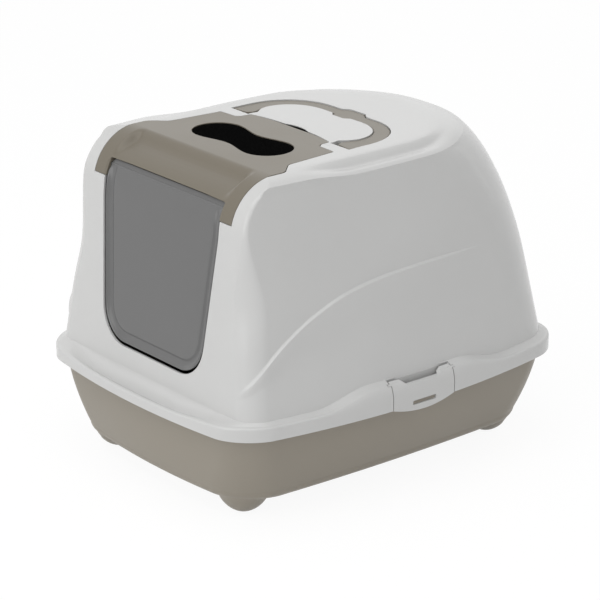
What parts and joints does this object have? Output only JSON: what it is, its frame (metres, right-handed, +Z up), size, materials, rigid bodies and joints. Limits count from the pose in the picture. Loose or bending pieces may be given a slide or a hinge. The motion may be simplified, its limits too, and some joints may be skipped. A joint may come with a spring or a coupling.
{
  "type": "hooded cat litter box",
  "caption": "Covered litter tray: bowed tray on round feet, domed hood with leaning front, swing flap door, flip-up lid with dog-bone vent, fold-flat handle and side latches.",
  "frame": {"origin": "middle of the footprint, at the level the feet stand on", "axes": "+Z up, the door faces -Y, +X is the right-hand side seen from the front"},
  "size_m": [0.392, 0.4704, 0.3552],
  "materials": {
    "taupe_plastic": "fine satin moulding",
    "pale_plastic": "satin moulding",
    "smoke_plastic": "smoky, nearly opaque, smooth",
    "filter_foam": "open-cell carbon foam",
    "dark_plastic": "plain moulding"
  },
  "bodies": {
    "tray": {"litter_tray": "taupe_plastic"},
    "hood": {"hood_shell": "pale_plastic"},
    "lid": {"flip_lid": "taupe_plastic", "filter_pad": "filter_foam", "filter_holder": "dark_plastic"},
    "door": {"door_flap": "smoke_plastic"},
    "handle": {"carry_handle": "taupe_plastic"},
    "latch_right": {"latch_right": "pale_plastic"},
    "latch_left": {"latch_left": "pale_plastic"}
  },
  "joints": [
    {"name": "hood_lift", "type": "slide", "parent": "tray", "child": "hood", "axis": [0, 0, 1], "range_m": [0, 0.3]},
    {"name": "lid_hinge", "type": "hinge", "parent": "hood", "child": "lid", "pos_m": [0, -0.02697, 0.3525], "axis": [-1, 0, 0], "range_deg": [0, 105]},
    {"name": "door_swing", "type": "hinge", "parent": "lid", "child": "door", "pos_m": [0, -0.17735, 0.324], "axis": [1, 0, 0], "range_deg": [-80, 90]},
    {"name": "handle_fold", "type": "hinge", "parent": "hood", "child": "handle", "pos_m": [0, -0.01642, 0.35065], "axis": [-1, 0, 0], "range_deg": [-90, 0]},
    {"name": "latch_right_swing", "type": "hinge", "parent": "hood", "child": "latch_right", "pos_m": [0.189, 0.0015, 0.1289], "axis": [0, -1, 0], "range_deg": [-3, 75]},
    {"name": "latch_left_swing", "type": "hinge", "parent": "hood", "child": "latch_left", "pos_m": [-0.189, 0.0015, 0.1289], "axis": [0, 1, 0], "range_deg": [-3, 75]}
  ]
}
